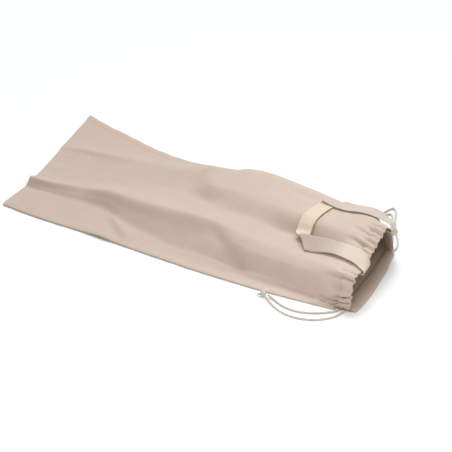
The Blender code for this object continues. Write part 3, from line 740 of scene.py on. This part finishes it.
# %% Tape route
TAPE_WIDTH, TAPE_THICKNESS = 28.0, 1.2
MITRE = 1.25  # how much longer a row is that runs along a mitre
UNDER_HEM = -(TUNNEL_HEIGHT + 2.4)
TAPE = {
    # place: rows of x, y, rise off the cloth, turn of the width in plan, lean, and the stretch at a mitre
    "near end, sewn": ((646, 40, UNDER_HEM, 90, 0), (664, 40.5, UNDER_HEM, 90, 0),
        (673.5, 41, UNDER_HEM, 96, 0), (676.2, 41, 1.4, 97, 0)),
    "round the rim and over the hem": ((674, 42, 4.8, 95, 8), (666, 46, 9.8, 86, 24)),
    "lifted": ((652, 53, 12.2, 84, 27), (635.5, 59.3, 12, 86, 25), (614, 68, 10.9, 89, 19)),
    "near run": ((595.5, 72, 10, 90, 18), (580.7, 72, 10.5, 90, 28), (559, 69, 10.5, 92, 38)),
    "near mitre": ((537.7, 69.7, 9.6, 130, 22, MITRE), (537, 69, 8.7, 130, 22, MITRE),
        (537.7, 69.7, 7.8, 130, 20, MITRE)),
    "middle run": ((526.7, 87, 6.6, 165, 8), (522, 104, 5, 188, 0), (520.5, 117.5, 3.4, 184, 0),
        (521, 130, 3, 182, 0), (522, 146, 3, 182, 0), (525, 160, 3, 184, 0),
        (528.3, 173.5, 2.6, 198, 5, 1.08)),
    "far mitre": ((531.7, 183, 1.6, 218, 14, MITRE), (531, 183.5, 2.4, 218, 14, MITRE),
        (531.7, 183, 3.3, 218, 14, MITRE)),
    "far run": ((549, 182.5, 3, 258, 3), (566, 181.5, 2.4, 268, -3), (585.5, 180, 3.8, 270, -10),
        (604.5, 178.5, 5.8, 270, -18)),
    "arch": ((620.5, 177.5, 8.4, 270, -25), (636, 173.5, 11.5, 270, -26), (646, 170.5, 11.3, 270, -26),
        (652.5, 168, 8.6, 270, -18)),
    "standing at the mouth": ((658, 167, 5.6, 270, -6), (660.5, 167, 3.6, 270, -2)),
    "far end, sewn": ((660.5, 167, 1, 270, 0),
        *((x, 167, UNDER_HEM, 270, 0) for x in (656.5, 651.5, 645.5, 639, 632))),
}
TAPE_STRIPS, TAPE_STEP = 18, 1.6
ROW_GAP = 0.4  # keeps rows that share a place apart
FORM_PLACES = 401
STEEP_SHARE = 0.2  # of a section, from its near edge, that is too steep to be read by y


def cloth_at(x, y):
    """The form without folds at a plan place, with its unit normal. Past the rim it runs straight on."""
    fine = np.linspace(0, 1, FORM_PLACES)
    gentle = slice(round(STEEP_SHARE * (FORM_PLACES - 1)), None)
    drawn = flow(ACROSS, TOP_RIM_DRAWN, fine)[:, 0]

    def surface(station):
        held = min(station, BAG_LENGTH)
        ys, zs = section(held, fine)
        k = int(np.argmin(np.abs(ys - y) + 1000 * (fine < STEEP_SHARE)))
        z = np.interp(y, ys[gentle], zs[gentle])
        return np.array([station - drawn[k] * rim_share(held), y, z])

    station = x
    for _ in range(6):
        station += x - surface(station)[0]
    here = surface(station)
    slope_x = (surface(station + 2)[2] - surface(station - 2)[2]) / 4 if station < BAG_LENGTH - 2 else 0.0
    ys, zs = section(min(station, BAG_LENGTH), fine)
    before, after = np.interp((y - 1, y + 1), ys[gentle], zs[gentle])
    slope_y = (after - before) / 2
    return here, unit(np.array([-slope_x, -slope_y, 1.0]))


coarse = []
places = np.linspace(-0.5, 0.5, TAPE_STRIPS + 1)
for place, x, y, rise, turn, lean, *stretch in [(place, *row) for place in TAPE for row in TAPE[place]]:
    middle, normal = cloth_at(x, y)
    level = heading(turn)
    level = level - (level @ normal) * normal
    tilt, spread = math.radians(lean), math.prod(stretch)
    width = math.cos(tilt) * unit(level) + math.sin(tilt) * normal
    if place.endswith("sewn"):
        under = [cloth_at(x + p * TAPE_WIDTH * level[0], y + p * TAPE_WIDTH * level[1]) for p in places]
        coarse.append([on_cloth + rise * out for on_cloth, out in under])
    else:
        coarse.append([middle + rise * normal + p * TAPE_WIDTH * spread * width for p in places])
coarse = np.array(coarse)
run = flow_length(coarse[:, TAPE_STRIPS // 2]) + ROW_GAP * np.arange(len(coarse))
count = round(run[-1] / TAPE_STEP)
fine_run = np.unique(np.concatenate([np.linspace(0, run[-1], count), run]))
tape_points = flow(run, coarse.reshape(len(coarse), -1), fine_run)
tape_points = tape_points.reshape(len(fine_run), TAPE_STRIPS + 1, 3)
tape_along = flow_length(tape_points[:, TAPE_STRIPS // 2])
print("tape length", round(tape_along[-1], 1), "mm in", len(fine_run), "rows")

# %% [markdown]
# The tape must lie on the cloth that was just made, with all its folds. A search tree of the cloth's faces
# tells how high the cloth is below each point of the tape, and the point is raised where it would be too low.

# %% Lay the tape on the finished cloth
cloth_tree = BVHTree.FromPolygons([Vector(p) for p in placed(points)], faces)
TAPE_CLEAR = TAPE_THICKNESS / 2 + CLOTH / 2 + 0.35
DOWN, RAY_START = Vector((0, 0, -1)), Vector((0, 0, 0.05))
sewn_to = run[len(TAPE["near end, sewn"]) - 1] + 0.1
sewn_from = run[-len(TAPE["far end, sewn"])] - 0.1
lifted_points = 0
for row, at in zip(tape_points, fine_run):
    for p in row if sewn_to < at < sewn_from else ():
        hit = cloth_tree.ray_cast(Vector(placed(p)) + RAY_START, DOWN)[0]
        lowest = p[2] if hit is None else hit.z / MM - BAG_CORNER[2] + TAPE_CLEAR
        if p[2] < lowest:
            p[2] = lowest
            lifted_points += 1
print("tape points raised:", lifted_points)

tape_flat = [(a / TAPE_STRIPS * TAPE_WIDTH * MM, s * MM) for s in tape_along for a in range(TAPE_STRIPS + 1)]
tape_faces = grid_faces(len(fine_run), TAPE_STRIPS + 1)
tape = mesh_piece("woven_tape", tape_points.reshape(-1, 3), tape_faces, tape_flat)
thicken(tape, TAPE_THICKNESS)

# %% [markdown]
# ## Stitches
#
# A row of machine stitches holds the hem down. At this size they are hardly more than a rhythm, but they
# tell sewn cloth from moulded cloth. Each stitch is a short thread, half sunk in the cotton.

# %% Hem stitches
STITCH_LENGTH, STITCH_PITCH, THREAD = 2.5, 3.3, 0.5
STITCH_PLACES = (0, 0.12, 0.5, 0.88, 1.0)
STITCH_RISES = (-0.35, 0.1, 0.3, 0.1, -0.35)
STITCH_SIZES = (0.35, 0.9, 1.0, 0.9, 0.35)
RING = 6


def stitch_parts(line, out):
    """Short threads along a line of points that has outward directions."""
    along = flow_length(line)
    parts = []
    for start in np.arange(1.0, along[-1] - STITCH_LENGTH, STITCH_PITCH):
        at = start + STITCH_LENGTH * np.array(STITCH_PLACES)
        middle = np.stack([np.interp(at, along, line[:, k]) for k in range(3)], axis=1)
        away = unit(np.array([np.interp(at[2], along, out[:, k]) for k in range(3)]))
        middle += away * (CLOTH / 2 + THREAD * np.array(STITCH_RISES))[:, None]
        side = np.cross(unit(middle[-1] - middle[0]), away)
        turn = np.linspace(0, 2 * math.pi, RING, endpoint=False)
        size = THREAD / 2 * np.array(STITCH_SIZES)
        ring = np.cos(turn)[:, None] * side + np.sin(turn)[:, None] * away
        made = np.concatenate([m + s * ring for m, s in zip(middle, size)])
        parts.append((made, tube_faces(len(size), RING), [(0, 0)] * len(made)))
    return parts


stitch_row = hem_rows[0]
threads = stitch_parts(top_outer[stitch_row], out_top[stitch_row])
threads += stitch_parts(floor[stitch_row, 3:-3], -out_floor[stitch_row, 3:-3])
stitches = face_out(mesh_piece("hem_stitches", *joined(threads)[:2]))
print("stitches:", len(threads))

# %% [markdown]
# ## Materials
#
# All the materials are cotton threads, so they share two effects, each a node group. One is the plain weave:
# warp and weft threads that pass over and under each other, with thicker and thinner places in the yarn. The
# other is the soft unevenness of undyed cotton.

# %% Shared effects: weave and unevenness
def group(name, inputs, outputs):
    """A shader node group. inputs has the number of each plain socket and None for a vector."""
    tree = bpy.data.node_groups.new(name, "ShaderNodeTree")
    for label, value in inputs.items():
        kind = "NodeSocketVector" if value is None else "NodeSocketFloat"
        made = tree.interface.new_socket(label, in_out="INPUT", socket_type=kind)
        if value is not None:
            made.default_value = value
    for label in outputs:
        tree.interface.new_socket(label, in_out="OUTPUT", socket_type="NodeSocketFloat")
    return tree, tree.nodes.new("NodeGroupInput").outputs, tree.nodes.new("NodeGroupOutput").inputs


def fill(tree, sockets, values):
    """Gives each named input its value, which is a constant or another node's socket."""
    for name, value in values.items():
        if isinstance(value, bpy.types.NodeSocket):
            tree.links.new(value, sockets[name])
        elif value is not None:
            sockets[name].default_value = value


def node(tree, kind, values, **settings):
    """A node with its settings and the values of its inputs."""
    made = tree.nodes.new(kind)
    for name, value in settings.items():
        setattr(made, name, value)
    fill(tree, made.inputs, values)
    return made


def maths(tree, operation, a, b=None, c=None):
    """A Math node's result. a, b and c are sockets or numbers."""
    return node(tree, "ShaderNodeMath", {0: a, 1: b, 2: c}, operation=operation).outputs[0]


def uneven(tree, vector, scale, detail=2.0, stretch=(1, 1, 1)):
    """A Noise texture's value over a stretched vector."""
    place = node(tree, "ShaderNodeMapping", {"Vector": vector, "Scale": stretch}).outputs[0]
    values = {"Vector": place, "Scale": scale, "Detail": detail}
    return node(tree, "ShaderNodeTexNoise", values).outputs["Fac"]


weave, given, result = group(
    "Plain weave", {"Cloth": None, "Threads per metre": 1400.0, "Weft share": 1.0}, ("Height", "Yarn")
)
split = node(weave, "ShaderNodeSeparateXYZ", {0: given["Cloth"]}).outputs
weft = maths(weave, "MULTIPLY", given["Threads per metre"], given["Weft share"])
s = maths(weave, "MULTIPLY", split["X"], given["Threads per metre"])
t = maths(weave, "MULTIPLY", split["Y"], weft)
heights = []
for one, other, half_way in ((s, t, 0.5), (t, s, -0.5)):
    ridge = maths(weave, "ABSOLUTE", maths(weave, "SINE", maths(weave, "MULTIPLY", one, math.pi)))
    turn = maths(weave, "MULTIPLY", maths(weave, "ADD", other, maths(weave, "FLOOR", one)), math.pi)
    over = maths(weave, "MULTIPLY_ADD", maths(weave, "SINE", turn), half_way, 0.5)
    heights.append(maths(weave, "MULTIPLY", ridge, over))
slubs = [uneven(weave, given["Cloth"], 1.0, 3.0, stretch) for stretch in ((620, 24, 1), (24, 620, 1))]
yarn = maths(weave, "MULTIPLY", maths(weave, "ADD", *slubs), 0.5)
fill(weave, result, {"Height": maths(weave, "MAXIMUM", *heights), "Yarn": yarn})

soft, given, result = group("Undyed cotton", {"Place": None, "Patches per metre": 22.0}, ("Tone", "Fuzz"))
values = {"Vector": given["Place"], "Scale": given["Patches per metre"], "Detail": 3.0}
patches = node(soft, "ShaderNodeTexNoise", values).outputs["Fac"]
fill(soft, result, {"Tone": patches, "Fuzz": uneven(soft, given["Place"], 900.0, 4.0)})
print("groups:", [g.name for g in bpy.data.node_groups])

# %% [markdown]
# The bag's cotton is a greyish beige, the tape is creamier, and the cord is nearly white. On the bag, the
# yarn's thick and thin places show a little in the colour and the weave shows in the bump; the weave's raised
# crossings are also painted a little lighter, a painted highlight. The tape's own colour is even, but it
# carries
# painted shade in bands along its length: darker, cooler bands by the near mitre and along the far run, where
# those runs tilt away from the light.

# %% Cotton materials
def paint_shade_along(tree, colour, along, painted_shade_bands):
    """A colour, multiplied by painted shade: the tint at each place along the flat cloth."""
    span = painted_shade_bands[-1][0]
    stripe = node(tree, "ShaderNodeValToRGB", {"Fac": maths(tree, "MULTIPLY", along, 1 / span)})
    stops = stripe.color_ramp.elements
    stops[0].color, stops[1].color = (*painted_shade_bands[0][1], 1), (*painted_shade_bands[-1][1], 1)
    for at, tint in painted_shade_bands[1:-1]:
        stops.new(at / span).color = (*tint, 1)
    inputs = {"Factor": 1.0, "A": colour, "B": stripe.outputs["Color"]}
    return node(tree, "ShaderNodeMix", inputs, data_type="RGBA", blend_type="MULTIPLY").outputs["Result"]


def cotton(name, shade, light, threads_per_metre, weft_share, bump, rough, painted_shade_bands=None):
    """A woven cotton. shade and light are the ends of its colour range; the weave's raised crossings are
    painted toward light, a painted highlight. The last argument holds painted shade along the flat cloth: a
    place in metres and the tint there, from the start to the end."""
    made = bpy.data.materials.new(name)
    made.use_nodes = True
    tree = made.node_tree
    flat_place = node(tree, "ShaderNodeUVMap", {}, uv_map="flat cloth").outputs["UV"]
    place = node(tree, "ShaderNodeTexCoord", {}).outputs["Object"]
    inputs = {"Cloth": flat_place, "Threads per metre": threads_per_metre, "Weft share": weft_share}
    woven = node(tree, "ShaderNodeGroup", inputs, node_tree=weave).outputs
    patchy = node(tree, "ShaderNodeGroup", {"Place": place}, node_tree=soft).outputs
    tone = maths(tree, "MULTIPLY_ADD", woven["Yarn"], 1.7, -0.75)
    tone = maths(tree, "MULTIPLY_ADD", patchy["Tone"], 0.5, tone)
    # painted highlight: the weave's raised crossings are coloured lighter
    tone = maths(tree, "MULTIPLY_ADD", woven["Height"], 0.25, tone)
    tone = maths(tree, "SUBTRACT", tone, 0.1)
    inputs = {"Factor": tone, "A": (*shade, 1), "B": (*light, 1)}
    colour = node(tree, "ShaderNodeMix", inputs, data_type="RGBA").outputs["Result"]
    # painted shade: darker, cooler bands along the tape where its runs tilt away from the light
    if painted_shade_bands:
        split = node(tree, "ShaderNodeSeparateXYZ", {0: flat_place})
        colour = paint_shade_along(tree, colour, split.outputs["Y"], painted_shade_bands)
    height = maths(tree, "ADD", woven["Height"], maths(tree, "MULTIPLY", woven["Yarn"], 1.4))
    height = maths(tree, "MULTIPLY_ADD", patchy["Fuzz"], 0.4, height)
    lumps = node(tree, "ShaderNodeBump", {"Strength": bump, "Distance": 0.0002, "Height": height})
    fill(tree, tree.nodes["Principled BSDF"].inputs, {
        "Base Color": colour, "Normal": lumps.outputs["Normal"], "Roughness": rough,
        "Sheen Weight": 0.08, "Sheen Roughness": 0.5, "Specular IOR Level": 0.2,
    })
    return made


# Painted shade on the tape: darker, cooler bands by the near mitre and along the far run, where those runs
# tilt away from the light. The tape's own colour is even.
TAPE_PAINTED_SHADE = (
    # place along the tape in metres, tint of the painted shade
    (0, (0.94, 0.97, 1)), (0.100, (0.94, 0.97, 1)), (0.124, (0.77, 0.77, 0.82)),
    (0.187, (0.75, 0.745, 0.79)), (0.191, (1, 1, 1)), (0.298, (1, 0.97, 0.93)),
    (0.306, (0.77, 0.775, 0.87)), (0.40, (0.81, 0.82, 0.90)), (0.480, (0.95, 0.95, 0.96)),
)
COTTONS = {
    # name: shade, light, threads per metre, weft share, bump, roughness, bands of painted shade
    "unbleached cotton": ((0.52, 0.407, 0.339), (0.60, 0.478, 0.405), 1400.0, 1.0, 0.5, 0.9),
    "cream cotton tape": ((0.64, 0.515, 0.41), (0.72, 0.59, 0.48), 1100.0, 0.7, 0.5, 0.85, TAPE_PAINTED_SHADE),
    "cotton cord": ((0.55, 0.50, 0.462), (0.67, 0.61, 0.565), 2600.0, 0.4, 0.5, 0.88),
    "sewing thread": ((0.56, 0.48, 0.41), (0.66, 0.58, 0.50), 3000.0, 1.0, 0.2, 0.8),
}
cottons = [cotton(name, *look) for name, look in COTTONS.items()]
for made, pieces in zip(cottons, ([cloth], [tape], cords_and_knots.values(), [stitches])):
    for piece in pieces:
        piece.data.materials.append(made)
print("materials:", [made.name for made in cottons])

# %% [markdown]
# ## Floor and light
#
# The bag lies on a white table under a large soft light from behind, on the left. Two small panels near the
# mouth, at the front and above, lift the shade there. Everything else is an even white glow, a little warmer
# than the main light, so the slopes that face the camera turn warm in their shade.

# %% Floor and light
FLOOR_SIZE = 6.0
SUN_FROM, SUN_POWER, SUN_SOFTNESS = (-0.431, 0.790, 1.25), 2.2, 0.6
SUN_COLOUR, GLOW_COLOUR, GLOW = (0.88, 0.96, 1.0), (1.0, 0.98, 0.94), 0.56
PANELS = {
    # place, what it looks at, size, power, colour
    "front panel": ((0.40, -0.40, 0.40), (0.24, -0.08, 0.04), 0.30, 0.85, (1.0, 0.98, 0.94)),
    "top panel": ((0.20, 0.20, 0.42), (0.18, 0.02, 0.05), 0.30, 0.42, (0.80, 0.91, 1.0)),
}

table = bpy.data.meshes.new("table")
half = FLOOR_SIZE / 2
corners = [(-half, -half, 0), (half, -half, 0), (half, half, 0), (-half, half, 0)]
table.from_pydata(corners, [], [(0, 1, 2, 3)])
table_top = in_scene("table", table)
white = bpy.data.materials.new("white table")
white.use_nodes = True
surface = white.node_tree.nodes["Principled BSDF"].inputs
fill(white.node_tree, surface, {"Base Color": (0.9, 0.9, 0.9, 1), "Roughness": 0.9})
table.materials.append(white)


def light(name, kind, power, colour, faces_from):
    """A light that shines from a direction."""
    lamp = bpy.data.lights.new(name, kind)
    lamp.energy = power
    lamp.color = colour
    holder = in_scene(name, lamp)
    holder.rotation_euler = Vector(faces_from).to_track_quat("Z", "Y").to_euler()
    return holder


light("window", "SUN", SUN_POWER, SUN_COLOUR, SUN_FROM).data.angle = SUN_SOFTNESS
for name, (place, looks_at, size, power, colour) in PANELS.items():
    panel = light(name, "AREA", power, colour, Vector(place) - Vector(looks_at))
    panel.data.size = size
    panel.location = place
    panel.visible_camera = False

glow = bpy.data.worlds.new("glow")
glow.use_nodes = True
surface = glow.node_tree.nodes["Background"].inputs
fill(glow.node_tree, surface, {"Color": (*GLOW_COLOUR, 1), "Strength": GLOW})
bpy.context.scene.world = glow
bpy.context.scene.view_settings.view_transform = "Standard"
print("light from", SUN_FROM)

for piece in [cloth, tape, stitches, *cords_and_knots.values()]:
    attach(piece, "root")
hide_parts("bag_cloth")
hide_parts("handle_tape")
for name, piece in cords_and_knots.items():
    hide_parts(name)
